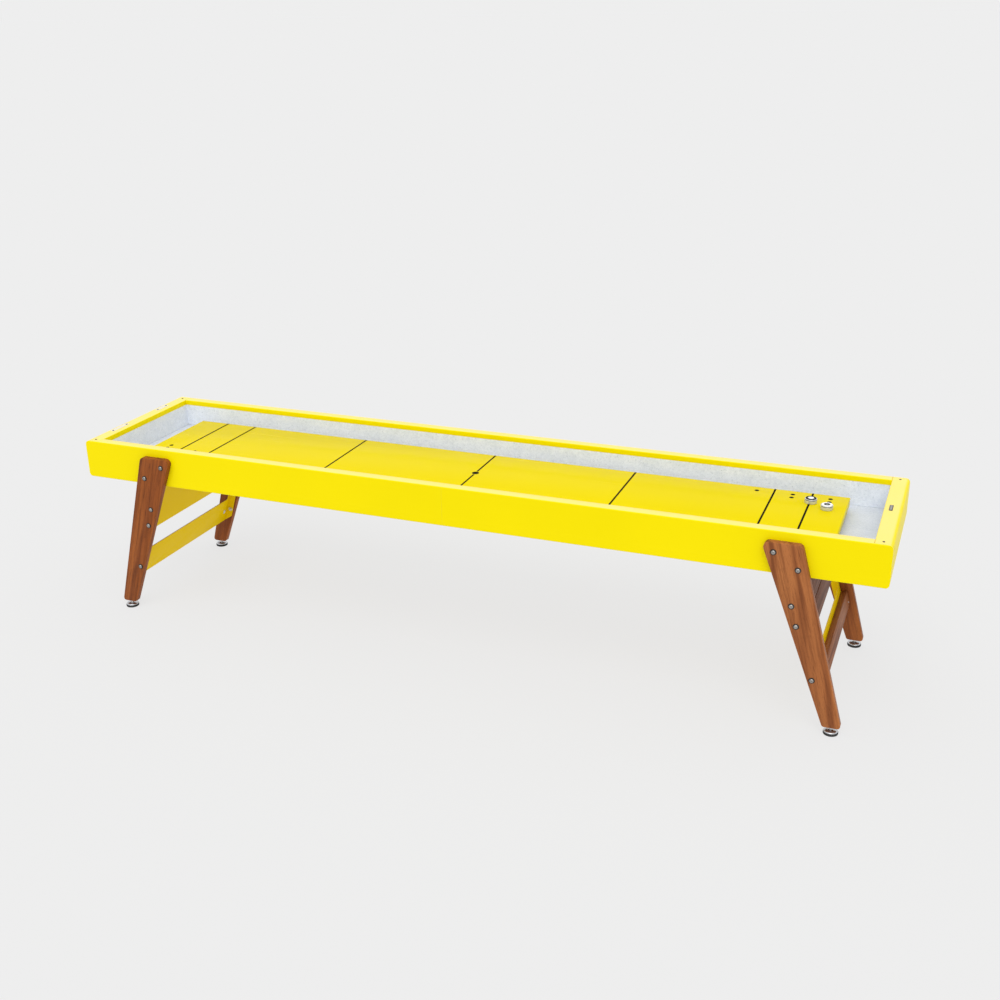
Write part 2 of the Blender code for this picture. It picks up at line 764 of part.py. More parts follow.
def puck(number, at):
    """A turned steel weight with a groove round it, and a plastic cap in the recess of its top."""
    base = BOARD_TOP + GAP
    top = base + PUCK_HEIGHT
    floor = top - PUCK_RECESS_DEPTH
    waist = PUCK_RADIUS - PUCK_GROOVE_DEPTH
    turned(
        f"puck_weight_{number}",
        [
            (0.0, floor),
            (PUCK_RECESS_RADIUS, floor),
            (PUCK_RECESS_RADIUS, top),
            (PUCK_RADIUS - 0.0018, top),
            (PUCK_RADIUS - 0.0005, top - 0.0005),
            (PUCK_RADIUS, top - 0.0018),
            (PUCK_RADIUS, top - 0.0040),
            (waist, top - 0.0047),
            (waist, top - 0.0055),
            (PUCK_RADIUS, top - 0.0062),
            (PUCK_RADIUS, base + 0.0022),
            (PUCK_RADIUS - 0.0008, base + 0.0006),
            (PUCK_RADIUS - 0.0022, base),
            (0.0, base),
        ],
        at,
        "puck_steel",
        steps=32,
    )
    turned(
        f"puck_cap_{number}",
        [
            (0.0, base + CAP_TOP),
            (CAP_RADIUS - 0.0040, base + CAP_TOP),
            (CAP_RADIUS - 0.0012, base + CAP_TOP - 0.0008),
            (CAP_RADIUS, base + CAP_TOP - 0.0021),
            (CAP_RADIUS, floor + GAP),
            (0.0, floor + GAP),
        ],
        at,
        CAP_FINISHES[number - 1],
        steps=32,
    )


def build():
    for side in SIDES:
        for end in ENDS:
            boolean(side_panel(side, end), bolt_holes_in_web(side, end))
            corner_bracket(side, end)
            leg(side, end)
            foot(side, end)
            for index in range(len(LEG_BOLTS)):
                leg_bolt(side, end, index)
        splice_plate(side)
    for end in ENDS:
        end_panel(end)
        floor_board(end)
        end_frame(end)
        end_boards(end)
    for name, step in (("left", -1), ("centre", 0), ("right", 1)):
        cross_member(f"cross_member_{name}", step * CROSS_MEMBER_SPACING)
        board_bearer(f"board_bearer_{name}", step * BEARER_SPACING)
    gutter()
    playing_board()
    for number, at in enumerate(PUCK_PLACES, start=1):
        puck(number, at)
    bpy.context.view_layer.update()


build()
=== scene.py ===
"""Looks of the shuffleboard table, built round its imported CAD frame. Metres, +Z up."""

import json
import math

import bmesh
import bpy
from mathutils import Matrix, Vector


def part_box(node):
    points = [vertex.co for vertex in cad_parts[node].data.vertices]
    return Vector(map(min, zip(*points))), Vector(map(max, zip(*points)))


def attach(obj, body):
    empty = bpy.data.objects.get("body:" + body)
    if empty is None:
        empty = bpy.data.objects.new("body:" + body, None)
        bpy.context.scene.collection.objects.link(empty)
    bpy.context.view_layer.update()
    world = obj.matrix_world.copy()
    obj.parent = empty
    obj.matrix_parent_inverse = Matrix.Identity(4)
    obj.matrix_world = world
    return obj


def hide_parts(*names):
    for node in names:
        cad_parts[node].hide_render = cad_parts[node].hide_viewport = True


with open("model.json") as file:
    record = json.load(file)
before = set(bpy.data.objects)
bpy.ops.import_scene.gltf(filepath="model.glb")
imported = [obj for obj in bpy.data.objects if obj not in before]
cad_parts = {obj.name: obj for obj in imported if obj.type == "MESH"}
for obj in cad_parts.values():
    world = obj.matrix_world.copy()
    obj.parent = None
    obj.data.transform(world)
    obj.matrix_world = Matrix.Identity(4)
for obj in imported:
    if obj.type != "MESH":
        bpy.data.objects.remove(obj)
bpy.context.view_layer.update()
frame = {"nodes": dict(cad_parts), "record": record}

BODIES = frame["record"]["behaviour"]["bodies"]
BODY_OF = {node: body for body, nodes in BODIES.items() for node in nodes}
ROOT = BODY_OF["playing_board"]
ENDS = (-1, 1)
SIDES = (-1, 1)
END_NAMES = {-1: "left", 1: "right"}
SIDE_NAMES = {-1: "front", 1: "back"}

# Places read from the frame: the far top corner of the board, a leg, a side panel and an end frame
BOARD_HIGH = Vector(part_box("playing_board")[1])
LEG_HIGH = Vector(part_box("leg_back_right")[1])
WEB_HIGH = Vector(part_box("side_panel_back_right")[1])
FRAME_HIGH = Vector(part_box("end_frame_right")[1])
RIM_TOP = WEB_HIGH.z
FRAME_LEAN = math.atan(0.31)  # how far the end frames lean from upright
LEG_LEAN = math.radians(15.0)  # how far the middle line of a leg does

# Fine sizes
SHEET_EDGE = 0.0006  # rounding on the edges of folded sheet, and on other edges below
PLATE_EDGE = 0.0004
FLOOR_EDGE = 0.0005
SOFT_EDGE = 0.0010
AS_MADE = 0.0  # no rounding beyond what the CAD node has
WEB_SHEET = 0.0025
FRAME_SHEET = 0.0030
GAP = 0.0001  # between a washer and what it lies on, so that the two never share a face


def middle(node):
    low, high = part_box(node)
    return (Vector(low) + Vector(high)) / 2


# ---- Materials ----------------------------------------------------------------------------------


class Nodes:
    """A small helper that makes and links shader nodes."""

    def __init__(self, name, roughness=0.5, metallic=0.0, specular=0.5):
        self.material = bpy.data.materials.new(name)
        self.material.use_nodes = True
        self.tree = self.material.node_tree
        self.shader = self.tree.nodes["Principled BSDF"]
        self.shader.inputs["Roughness"].default_value = roughness
        self.shader.inputs["Metallic"].default_value = metallic
        self.shader.inputs["Specular IOR Level"].default_value = specular
        self.where = self.tree.nodes.new("ShaderNodeTexCoord").outputs["Object"]

    def node(self, kind, inputs=None, **settings):
        made = self.tree.nodes.new(kind)
        for key, value in settings.items():
            setattr(made, key, value)
        for key, value in (inputs or {}).items():
            if isinstance(value, bpy.types.NodeSocket):
                self.tree.links.new(value, made.inputs[key])
            else:
                made.inputs[key].default_value = value
        return made

    def link(self, output, socket):
        self.tree.links.new(output, self.shader.inputs[socket])

    def mapped(self, scale, rotation=(0, 0, 0), location=(0, 0, 0), vector=None):
        inputs = {
            "Vector": vector or self.where,
            "Scale": scale,
            "Rotation": rotation,
            "Location": location,
        }
        return self.node("ShaderNodeMapping", inputs).outputs["Vector"]

    def noise(self, scale, detail=2.0, roughness=0.5, vector=None):
        inputs = {
            "Vector": vector or self.where,
            "Scale": scale,
            "Detail": detail,
            "Roughness": roughness,
            "Distortion": 0.0,
        }
        return self.node("ShaderNodeTexNoise", inputs).outputs["Fac"]

    def ramp(self, value, stops):
        made = self.node("ShaderNodeValToRGB", {"Fac": value})
        ramp = made.color_ramp
        while len(ramp.elements) < len(stops):
            ramp.elements.new(0.5)
        for element, (position, color) in zip(ramp.elements, stops):
            element.position = position
            element.color = (*color, 1.0)
        return made.outputs["Color"]

    def gray(self, value, stops):
        return self.ramp(value, [(position, (level, level, level)) for position, level in stops])

    def mix(self, factor, a, b):
        made = self.node("ShaderNodeMix", data_type="RGBA", blend_type="MIX")
        for key, value in ((0, factor), (6, a), (7, b)):
            if isinstance(value, bpy.types.NodeSocket):
                self.tree.links.new(value, made.inputs[key])
            else:
                made.inputs[key].default_value = value if key == 0 else (*value, 1.0)
        return made.outputs[2]

    def math(self, operation, a, b=0.0):
        made = self.node("ShaderNodeMath", operation=operation)
        for key, value in ((0, a), (1, b)):
            if isinstance(value, bpy.types.NodeSocket):
                self.tree.links.new(value, made.inputs[key])
            else:
                made.inputs[key].default_value = value
        return made.outputs[0]

    def edges(self, radius, sharpness=6.0):
        """How close the surface is to a rounded or sharp edge, from 0 to 1."""
        soft = self.node("ShaderNodeBevel", {"Radius": radius}, samples=4).outputs["Normal"]
        own = self.node("ShaderNodeNewGeometry").outputs["Normal"]
        dot = self.node("ShaderNodeVectorMath", {0: soft, 1: own}, operation="DOT_PRODUCT")
        away = self.math("SUBTRACT", 1.0, dot.outputs["Value"])
        settings = {"operation": "MULTIPLY", "use_clamp": True}
        return self.node("ShaderNodeMath", {0: away, 1: sharpness}, **settings).outputs[0]

    def bump(self, height, strength, distance, normal=None):
        inputs = {"Height": height, "Strength": strength, "Distance": distance}
        if normal is not None:
            inputs["Normal"] = normal
        return self.node("ShaderNodeBump", inputs).outputs["Normal"]


def powder_coat(name, low, high, painted_top_highlight, specular):
    """Smooth yellow powder coat between two shades: a fine orange peel, edges made paler as a
    painted highlight, and level tops made paler as a painted highlight."""
    n = Nodes(name, roughness=0.36, specular=specular)
    base = n.ramp(n.noise(1.7, detail=3.0), [(0.3, low), (0.7, high)])
    normal = n.node("ShaderNodeNewGeometry").outputs["Normal"]
    up = n.node("ShaderNodeSeparateXYZ", {"Vector": normal}).outputs["Z"]
    # Faces that look up are mixed towards a paler yellow: a painted highlight on the tops.
    level_faces = n.gray(up, [(0.80, 0.0), (0.97, 1.0)])
    blotches = n.gray(n.noise(6.0, detail=4.0), [(0.3, 0.86), (0.7, 1.0)])
    base = n.mix(n.math("MULTIPLY", level_faces, blotches), base, painted_top_highlight)
    # Edges are mixed towards a paler yellow: a painted highlight.
    painted_edge_highlight = n.math("MULTIPLY", n.edges(0.002), n.noise(45.0, detail=4.0))
    n.link(n.mix(n.math("MULTIPLY", painted_edge_highlight, 0.30), base, (0.90, 0.76, 0.20)), "Base Color")
    n.link(n.gray(n.noise(30.0, detail=4.0), [(0.3, 0.32), (0.75, 0.42)]), "Roughness")
    peel = n.noise(420.0, detail=2.0, roughness=0.6)
    n.link(n.bump(peel, 0.06, 0.0004), "Normal")
    return n.material


def board_lacquer():
    """The playing surface: even yellow under clear lacquer, with light scuffs along the board."""
    n = Nodes("board_lacquer", roughness=0.20, specular=0.014)
    drift = n.noise(1.3, detail=3.0)
    base = n.ramp(drift, [(0.3, (0.700, 0.562, 0.0)), (0.7, (0.725, 0.584, 0.0))])
    worn = n.math("MULTIPLY", n.edges(0.003), 0.25)
    n.link(n.mix(worn, base, (0.60, 0.40, 0.02)), "Base Color")
    scuffs = n.noise(55.0, detail=5.0, roughness=0.7, vector=n.mapped((0.05, 1.0, 1.0)))
    n.link(n.gray(scuffs, [(0.35, 0.17), (0.75, 0.30)]), "Roughness")
    n.link(n.bump(n.noise(9.0, detail=2.0), 0.02, 0.002), "Normal")
    return n.material


def print_black():
    n = Nodes("print_black", roughness=0.60, specular=0.02)
    speck = n.noise(300.0, detail=3.0)
    inks = [(0.35, (0.001, 0.001, 0.001)), (0.8, (0.006, 0.005, 0.004))]
    n.link(n.ramp(speck, inks), "Base Color")
    n.link(n.gray(speck, [(0.3, 0.52), (0.7, 0.68)]), "Roughness")
    return n.material


# The light, middle and dark colours of each wood
AMBER = ((0.412, 0.148, 0.046), (0.330, 0.109, 0.033), (0.160, 0.047, 0.015))
RUSSET = ((0.345, 0.100, 0.020), (0.262, 0.071, 0.015), (0.098, 0.025, 0.007))
WALNUT = ((0.215, 0.076, 0.028), (0.170, 0.057, 0.021), (0.085, 0.026, 0.010))


def hardwood(name, grain, colors, seed):
    """Reddish hardwood in a light, a middle and a dark colour. The grain runs along the given
    direction, with long figure, streaks, dashes, fine pores, and edges made lighter as a painted
    highlight. The seed moves the figure, so that no two pieces are alike."""
    light, mid, dark = colors
    n = Nodes(name, roughness=0.48, specular=0.12)
    turn = Vector(grain).normalized().rotation_difference(Vector((1, 0, 0))).to_euler()
    along = n.mapped((1, 1, 1), rotation=tuple(turn), location=(seed, seed * 0.37, seed * 0.61))
    patches = n.noise(1.0, detail=2.0, vector=n.mapped((2.2, 9.0, 9.0), vector=along))
    figure = n.node(
        "ShaderNodeTexWave",
        {
            "Vector": n.mapped((0.09, 1.0, 1.0), vector=along),
            "Scale": 7.0,
            "Distortion": 6.5,
            "Detail": 3.0,
            "Detail Scale": 1.4,
            "Detail Roughness": 0.55,
        },
        wave_type="BANDS",
        bands_direction="DIAGONAL",
        wave_profile="SIN",
    ).outputs["Fac"]
    long_cells = n.mapped((3.0, 95.0, 95.0), vector=along)
    streaks = n.noise(1.0, detail=5.0, roughness=0.62, vector=long_cells)
    short_cells = n.mapped((13.0, 330.0, 330.0), vector=along)
    dashes = n.noise(1.0, detail=2.0, vector=short_cells)
    fine_cells = n.mapped((38.0, 900.0, 900.0), vector=along)
    pores = n.noise(1.0, detail=3.0, vector=fine_cells)
    body = n.ramp(figure, [(0.0, light), (0.62, light), (0.86, mid), (1.0, mid)])
    body = n.mix(n.gray(figure, [(0.86, 0.0), (0.975, 0.72)]), body, dark)
    body = n.mix(n.gray(patches, [(0.38, 0.75), (0.66, 0.0)]), body, mid)
    body = n.mix(n.gray(streaks, [(0.36, 0.58), (0.56, 0.0)]), body, dark)
    body = n.mix(n.gray(dashes, [(0.30, 0.80), (0.38, 0.0)]), body, dark)
    deepest = tuple(level * 0.4 for level in dark)
    body = n.mix(n.gray(pores, [(0.30, 0.55), (0.42, 0.0)]), body, deepest)
    # Edges are mixed towards a lighter wood colour: a painted highlight.
    painted_edge_highlight = n.math("MULTIPLY", n.edges(0.004, 3.0), 0.42)
    edge_highlight_colour = tuple(min(level * 1.45, 1.0) for level in light)
    n.link(n.mix(painted_edge_highlight, body, edge_highlight_colour), "Base Color")
    n.link(n.gray(streaks, [(0.3, 0.52), (0.7, 0.38)]), "Roughness")
    height = n.math("ADD", n.math("ADD", pores, dashes), n.math("MULTIPLY", streaks, 0.5))
    n.link(n.bump(height, 0.20, 0.0004), "Normal")
    return n.material


def plywood():
    """Plain birch plywood, with its plies where an edge shows."""
    n = Nodes("plywood", roughness=0.68, specular=0.3)
    grain = n.noise(1.0, detail=4.0, vector=n.mapped((2.5, 60.0, 60.0)))
    base = n.ramp(grain, [(0.3, (0.50, 0.34, 0.19)), (0.7, (0.66, 0.49, 0.30))])
    wave = {"Vector": n.where, "Scale": 230.0, "Distortion": 0.4}
    plies = n.node("ShaderNodeTexWave", wave, bands_direction="Z").outputs["Fac"]
    dark_plies = n.gray(plies, [(0.45, 0.0), (0.8, 0.25)])
    n.link(n.mix(dark_plies, base, (0.30, 0.18, 0.09)), "Base Color")
    n.link(n.bump(grain, 0.2, 0.0004), "Normal")
    return n.material


def grey_felt(name, painted_light_scale):
    """Short needle felt: pale grey with darker and lighter specks, and a soft nap. The scale
    makes every colour in it lighter or darker, as painted light."""
    n = Nodes(name, roughness=0.94, specular=0.15)

    def shade(red, green, blue):
        return red * painted_light_scale, green * painted_light_scale, blue * painted_light_scale

    cloud = n.noise(14.0, detail=4.0, roughness=0.6)
    pale, paler = shade(0.610, 0.648, 0.712), shade(0.690, 0.724, 0.782)
    base = n.ramp(cloud, [(0.32, pale), (0.70, paler)])
    tufted = n.noise(95.0, detail=3.0, roughness=0.65)
    base = n.mix(n.gray(tufted, [(0.34, 0.26), (0.50, 0.0)]), base, shade(0.46, 0.50, 0.60))
    base = n.mix(n.gray(tufted, [(0.52, 0.0), (0.68, 0.28)]), base, shade(0.84, 0.87, 0.95))
    fibre = n.noise(520.0, detail=3.0, roughness=0.7)
    base = n.mix(n.gray(fibre, [(0.30, 0.55), (0.46, 0.0)]), base, shade(0.40, 0.45, 0.51))
    base = n.mix(n.gray(fibre, [(0.56, 0.0), (0.72, 0.7)]), base, shade(0.86, 0.89, 0.93))
    fleck = n.noise(150.0, detail=1.0)
    flecked = n.mix(n.gray(fleck, [(0.66, 0.0), (0.74, 0.5)]), base, shade(0.34, 0.39, 0.45))
    n.link(flecked, "Base Color")
    tufts = n.node("ShaderNodeTexVoronoi", {"Vector": n.where, "Scale": 700.0}).outputs["Distance"]
    nap = n.bump(tufts, 0.35, 0.0006)
    n.link(n.bump(n.noise(60.0, detail=3.0), 0.25, 0.0015, normal=nap), "Normal")
    n.shader.inputs["Sheen Weight"].default_value = 0.25
    n.shader.inputs["Sheen Roughness"].default_value = 0.6
    return n.material


def metal(name, low, high, rough, brushed=(1, 1, 1), bump=0.05, metallic=1.0):
    """A metal whose colour runs from low to high, and whose roughness varies with it. Brushed
    stretches the marks on it."""
    n = Nodes(name, roughness=rough, metallic=metallic)
    marks = n.noise(60.0, detail=5.0, roughness=0.65, vector=n.mapped(brushed))
    n.link(n.ramp(marks, [(0.3, low), (0.7, high)]), "Base Color")
    n.link(n.gray(marks, [(0.3, rough * 0.8), (0.75, rough * 1.35)]), "Roughness")
    n.link(n.bump(marks, bump, 0.0003), "Normal")
    return n.material


def rubber():
    n = Nodes("rubber", roughness=0.78, specular=0.35)
    dust = n.noise(90.0, detail=4.0)
    greys = [(0.4, (0.020, 0.020, 0.020)), (0.85, (0.060, 0.060, 0.058))]
    n.link(n.ramp(dust, greys), "Base Color")
    n.link(n.bump(n.noise(700.0), 0.2, 0.0003), "Normal")
    return n.material


def cap_plastic(name, low, high, specular):
    n = Nodes(name, roughness=0.25, specular=specular)
    marks = n.noise(120.0, detail=4.0)
    n.link(n.ramp(marks, [(0.35, low), (0.7, high)]), "Base Color")
    n.link(n.gray(marks, [(0.3, 0.20), (0.8, 0.38)]), "Roughness")
    n.link(n.bump(marks, 0.04, 0.0003), "Normal")
    return n.material


YELLOW = powder_coat(
    "yellow_powder_coat",
    low=(0.830, 0.685, 0.0),
    high=(0.865, 0.712, 0.0),
    painted_top_highlight=(0.87, 0.700, 0.20),
    specular=0.06,
)
# The end frames' coat is a deeper, more orange copy of the yellow, for parts in the shade under the
# table: painted shade.
FRAME_YELLOW_PAINTED_SHADE = powder_coat(
    "yellow_powder_coat_frame_painted_shade",
    low=(0.80, 0.545, 0.0),
    high=(0.83, 0.575, 0.0),
    painted_top_highlight=(0.85, 0.62, 0.05),
    specular=0.04,
)
BOARD = board_lacquer()
BLACK_PRINT = print_black()
# One felt in two copies, the floor's darker and the walls' lighter, to even out the light that
# falls on them: painted shade and painted light.
FLOOR_FELT_PAINTED_SHADE = grey_felt("grey_felt_floor_painted_shade", 0.92)
WALL_FELT_PAINTED_LIGHT = grey_felt("grey_felt_wall_painted_light", 1.17)
PLY = plywood()
ZINC = metal("zinc_steel", (0.62, 0.62, 0.60), (0.80, 0.80, 0.78), 0.32)
BOLT_STEEL = metal("bolt_steel", (0.26, 0.25, 0.24), (0.42, 0.41, 0.39), 0.26)
# Near-black steel for the small screws and the badge frame; on the bolt washers the near-black is
# painted shade round each head.
DARK_STEEL_AND_PAINTED_SHADE = metal("dark_steel_and_painted_shade", (0.030, 0.030, 0.030), (0.075, 0.073, 0.070), 0.36)
CHROME = metal("chrome", (0.46, 0.47, 0.49), (0.62, 0.63, 0.65), 0.24, bump=0.01)
PLATE_STEEL = metal(
    "rim_plate_steel", (0.86, 0.83, 0.70), (0.95, 0.92, 0.80), 0.30, brushed=(40, 1, 1), bump=0.03
)
PUCK_STEEL = metal(
    "puck_steel",
    (0.52, 0.54, 0.58),
    (0.72, 0.74, 0.78),
    0.25,
    brushed=(1, 1, 30),
    bump=0.03,
    metallic=0.45,
)
RUBBER = rubber()
WHITE_CAP = cap_plastic("white_cap_plastic", (0.80, 0.80, 0.79), (0.90, 0.90, 0.89), 0.5)
DARK_CAP = cap_plastic("dark_cap_plastic", (0.008, 0.008, 0.010), (0.018, 0.018, 0.020), 0.05)


# ---- Pieces -------------------------------------------------------------------------------------


SHEET_SMOOTH = 35.0  # creases sharper than this, in degrees, stay sharp
SOFT_SMOOTH = 50.0  # wood and rubber
SMALL_SMOOTH = 30.0
TURNED_SMOOTH = 40.0


def into_scene(name, bm, finish, body=ROOT, smooth=SHEET_SMOOTH):
    """Writes the bmesh into a new object that rides on a body and takes its finish from a slot."""
    bmesh.ops.recalc_face_normals(bm, faces=bm.faces)
    for face in bm.faces:
        face.smooth = True
    mesh = bpy.data.meshes.new(name)
    bm.to_mesh(mesh)
    bm.free()
    mesh.set_sharp_from_angle(angle=math.radians(smooth))
    mesh.materials.append(finish)
    piece = bpy.data.objects.new(name, mesh)
    bpy.context.scene.collection.objects.link(piece)
    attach(piece, body)
    return piece


WELD = 0.00002  # vertices closer than this are one
FLAT = math.radians(0.4)  # faces that meet at less than this are one
ROUNDED = math.radians(50)  # edges sharper than this are rounded


def refined(node, finish, edge=SHEET_EDGE, smooth=SHEET_SMOOTH):
    """The CAD node with its flat faces made whole, its edges rounded and its curves shaded
    smooth."""
    bm = bmesh.new()
    bm.from_mesh(frame["nodes"][node].data)
    bmesh.ops.remove_doubles(bm, verts=bm.verts, dist=WELD)
    bmesh.ops.dissolve_limit(bm, angle_limit=FLAT, verts=bm.verts, edges=bm.edges)
    piece = into_scene(node + "_finished", bm, finish, BODY_OF[node], smooth)
    if edge:
        bevel = piece.modifiers.new("edges", "BEVEL")
        bevel.width = edge
        bevel.segments = 2
        bevel.limit_method = "ANGLE"
        bevel.angle_limit = ROUNDED
        bevel.harden_normals = True
    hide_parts(node)


def lathe(bm, profile, matrix=None, steps=64):
    """Adds a solid of revolution about Z to the bmesh, from (radius, height) points that start
    and end on the axis, or that come back to where they started."""
    turn = [math.tau * i / steps for i in range(steps)]
    rings = []
    for radius, height in profile:
        if radius:
            points = [(radius * math.cos(a), radius * math.sin(a), height) for a in turn]
        else:
            points = [(0, 0, height)]
        rings.append([bm.verts.new(point) for point in points])
    for low, high in zip(rings, rings[1:]):
        for i in range(steps):
            j = (i + 1) % steps
            first, last = len(low), len(high)
            corners = low[i % first], low[j % first], high[j % last], high[i % last]
            bm.faces.new(list(dict.fromkeys(corners)))
    if matrix is not None:
        bmesh.ops.transform(bm, matrix=matrix, verts=[vert for ring in rings for vert in ring])


def arc(centre, radius, start, stop, count):
    """(x, y) points of an arc, its angles in degrees."""
    angles = [math.radians(start + (stop - start) * i / (count - 1)) for i in range(count)]
    return [(centre[0] + radius * math.cos(a), centre[1] + radius * math.sin(a)) for a in angles]


def prism(bm, outline, low, high, matrix=Matrix.Identity(4)):
    """Adds an upright prism to the bmesh, with an (x, y) outline, between two heights."""
    floor, top = (
        [bm.verts.new(matrix @ Vector((x, y, z))) for x, y in outline] for z in (low, high)
    )
    bm.faces.new(floor[::-1])
    bm.faces.new(top)
    for i in range(len(outline)):
        j = (i + 1) % len(outline)
        bm.faces.new((floor[i], floor[j], top[j], top[i]))


def hexagon(radius):
    """The outline of a hexagon, its radius taken to the flats."""
    corner = radius / math.cos(math.pi / 6)
    angles = [math.tau * (i + 0.5) / 6 for i in range(6)]
    return [(corner * math.cos(a), corner * math.sin(a)) for a in angles]


def block(bm, low, high, matrix=Matrix.Identity(4)):
    """Adds a box to the bmesh, between two opposite corners."""
    low, high = Vector(low), Vector(high)
    place = Matrix.Translation((low + high) / 2) @ Matrix.Diagonal((*(high - low), 1.0))
    bmesh.ops.create_cube(bm, size=1.0, matrix=matrix @ place)


def facing(point, direction):
    """A matrix that puts the origin at a point, with Z along a direction."""
    turn = Vector((0, 0, 1)).rotation_difference(Vector(direction)).to_matrix().to_4x4()
    return Matrix.Translation(point) @ turn


def tray():
    """The tray: folded sheet and its brackets, plywood under and round the gutter, and the felt."""
    for side in SIDES:
        for end in ENDS:
            tail = f"{SIDE_NAMES[side]}_{END_NAMES[end]}"
            refined(f"side_panel_{tail}", YELLOW)
            refined(f"corner_bracket_{tail}", ZINC, PLATE_EDGE)
        refined(f"splice_plate_{SIDE_NAMES[side]}", ZINC, PLATE_EDGE)
    for end in ENDS:
        refined(f"end_panel_{END_NAMES[end]}", YELLOW)
        refined(f"floor_board_{END_NAMES[end]}", PLY, FLOOR_EDGE)
    for name in ("left", "centre", "right"):
        refined(f"cross_member_{name}", PLY, AS_MADE)
        refined(f"board_bearer_{name}", PLY, SOFT_EDGE)
    refined("gutter_liner", PLY, AS_MADE)
    refined("gutter_floor_felt", FLOOR_FELT_PAINTED_SHADE, SOFT_EDGE)
    refined("gutter_wall_felt", WALL_FELT_PAINTED_LIGHT, SOFT_EDGE)


PRINT_LOW, PRINT_HIGH = 0.00005, 0.00015  # the print's two faces, over the board
PRINT_MARGIN = 0.0021  # between the end of a line and the board's long edge
LINE_WIDTH = 0.0083
LINE_PLACES = (0.673, 1.293, 1.452)  # from the middle of the board, towards each end
DOT_RADIUS = 0.0160  # the dot in the middle
DOT_GAP = 0.021  # from its centre to the middle line
SCORE_RADIUS = 0.0095
SCORE_DOTS = (  # how far along the board each row is, and how far across its dots are
    (1.220, (0.203,)),
    (1.3725, (0.2045, 0.169)),
    (1.529, (0.2025, 0.167, 0.131)),
)


def board():
    """The board, and its print: lines across it, a dot in the middle and score dots near both
    ends."""
    refined("playing_board", BOARD, AS_MADE, SMALL_SMOOTH)
    low, high = BOARD_HIGH.z + PRINT_LOW, BOARD_HIGH.z + PRINT_HIGH
    edge = BOARD_HIGH.y - PRINT_MARGIN
    half = LINE_WIDTH / 2
    bm = bmesh.new()
    for end in ENDS:
        for x in LINE_PLACES:
            block(bm, (end * x - half, -edge, low), (end * x + half, edge, high))
    for side in SIDES:
        near, far = sorted((side * DOT_GAP, side * edge))
        block(bm, (-half, near, low), (half, far, high))
    lathe(bm, [(0.0, high), (DOT_RADIUS, high), (DOT_RADIUS, low), (0.0, low)])
    score = [(0.0, high), (SCORE_RADIUS, high), (SCORE_RADIUS, low), (0.0, low)]
    for end in ENDS:
        for x, places in SCORE_DOTS:
            for y in places:
                lathe(bm, score, Matrix.Translation((end * x, end * y, 0)), steps=32)
    into_scene("board_print", bm, BLACK_PRINT)


def between(a, b, amount):
    """Three wood colours, part of the way from one set to another."""
    return tuple(tuple(p + (q - p) * amount for p, q in zip(*pair)) for pair in zip(a, b))


LEG_COLORS = {
    ("front", "right"): AMBER,
    ("back", "right"): between(AMBER, RUSSET, 0.6),
    ("front", "left"): RUSSET,
    ("back", "left"): RUSSET,
}
CROSS_COLORS = {
    "rail": between(AMBER, WALNUT, 0.45),
    "apron_lower": WALNUT,
    "apron_upper": WALNUT,
}


def legs():
    """The legs, the rail and apron boards between them, and the end frames."""
    for end in ENDS:
        tail = END_NAMES[end]
        down = (end * math.sin(LEG_LEAN), 0.0, -math.cos(LEG_LEAN))
        for index, side in enumerate(SIDES):
            node = f"leg_{SIDE_NAMES[side]}_{tail}"
            colors = LEG_COLORS[SIDE_NAMES[side], tail]
            wood = hardwood("hardwood_" + node, down, colors, seed=1.3 * end + 2.9 * index)
            refined(node, wood, AS_MADE, SOFT_SMOOTH)
        for index, (kind, colors) in enumerate(CROSS_COLORS.items()):
            node = f"{kind}_{tail}"
            wood = hardwood("hardwood_" + node, (0, 1, 0), colors, seed=4.1 * end + 1.7 * index)
            refined(node, wood, AS_MADE, SOFT_SMOOTH)
        refined(f"end_frame_{tail}", FRAME_YELLOW_PAINTED_SHADE)


# The bolts of each leg: how far along the table and how high they are
UPPER_BOLTS = ((1.397, 0.750), (1.4945, 0.688))
FRAME_BOLTS = ((1.480, 0.534), (1.504, 0.450), (1.581, 0.227))

# Washer, nut and bolt end, as (radius, height) points and heights over what they lie on
NUT_WASHER = (
    (0, 0),
    (0.0116, 0),
    (0.0118, 0.0003),
    (0.0118, 0.0011),
    (0.0115, 0.0014),
    (0, 0.0014),
)
NUT_FLAT = 0.0065
NUT_LOW, NUT_HIGH = 0.0012, 0.0064
BOLT_END = ((0, 0.0062), (0.0037, 0.0062), (0.0037, 0.0088), (0.0031, 0.0095), (0, 0.0095))
HEAD_WASHER = (
    (0, 0),
    (0.0122, 0),
    (0.0124, 0.0004),
    (0.0122, 0.0011),
    (0.0114, 0.0015),
    (0, 0.0015),
)
DOME = 0.0088  # radius of a bolt's head
DOME_BASE = 0.0027
DOME_FLATNESS = 0.52  # its height over its radius
SOCKET = 0.0026
SOCKET_DEPTH = 0.0024


def bolt_head(name, place, nodes=()):
    """A domed head with a socket, on a washer coloured near black as painted shade round the head.
    """
    bm = bmesh.new()
    lathe(bm, HEAD_WASHER, place, steps=48)
    into_scene(name + "_washer", bm, DARK_STEEL_AND_PAINTED_SHADE)

    dome = [(x, DOME_BASE + y * DOME_FLATNESS) for x, y in arc((0, 0), DOME, 8, 70, 10)]
    crown = dome[-1][1]
    profile = [
        (0, 0.0013),
        (DOME - 0.0003, 0.0013),
        (DOME, 0.0018),
        *dome,
        (SOCKET + 0.0003, crown + 0.0003),
        (SOCKET, crown),
        (SOCKET * 0.98, crown - SOCKET_DEPTH + 0.0002),
        (0, crown - SOCKET_DEPTH),
    ]
    bm = bmesh.new()
    lathe(bm, profile, place, steps=48)
    head = into_scene(name, bm, BOLT_STEEL, smooth=TURNED_SMOOTH)
    if nodes:
        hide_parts(*nodes)


